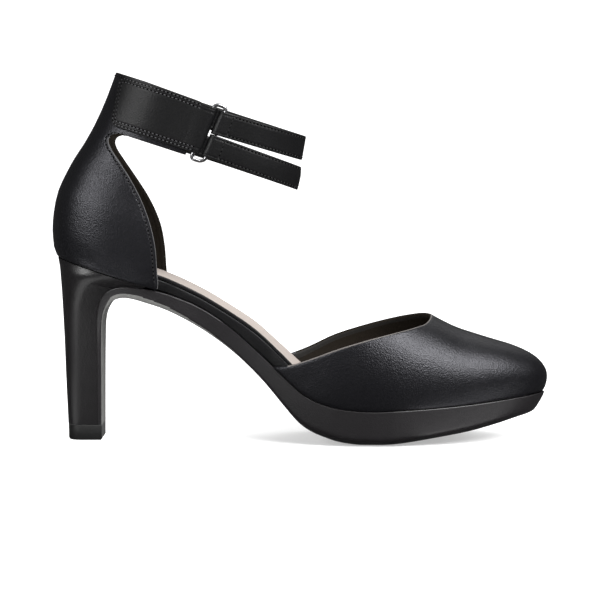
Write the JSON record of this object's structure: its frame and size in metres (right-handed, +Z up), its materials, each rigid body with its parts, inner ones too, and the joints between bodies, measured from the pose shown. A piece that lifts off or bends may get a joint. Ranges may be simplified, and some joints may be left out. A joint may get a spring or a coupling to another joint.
{
  "type": "heeled shoe",
  "caption": "Black leather d'Orsay pump with almond toe, platform, high slim heel and a tab-and-ring ankle strap; right shoe.",
  "frame": {"origin": "on the floor, under the middle of the shoe's box", "axes": "+X towards the toe, +Y towards the inner side of the foot, +Z up"},
  "size_m": [0.2356, 0.0768, 0.1735],
  "materials": {
    "upper_leather": "satin",
    "sole_rubber": "satin",
    "heel_cover": "satin",
    "lift_rubber": "matte",
    "insole_leather": "matte",
    "ring_metal": "polished"
  },
  "bodies": {
    "root": {"outsole": "sole_rubber", "heel": "heel_cover", "heel_lift": "lift_rubber", "footbed": "upper_leather", "insole": "insole_leather", "vamp": "upper_leather", "quarter": "upper_leather", "closure_tab": "upper_leather", "strap_lower": "upper_leather", "strap_upper": "upper_leather", "ring": "ring_metal"}
  },
  "joints": []
}
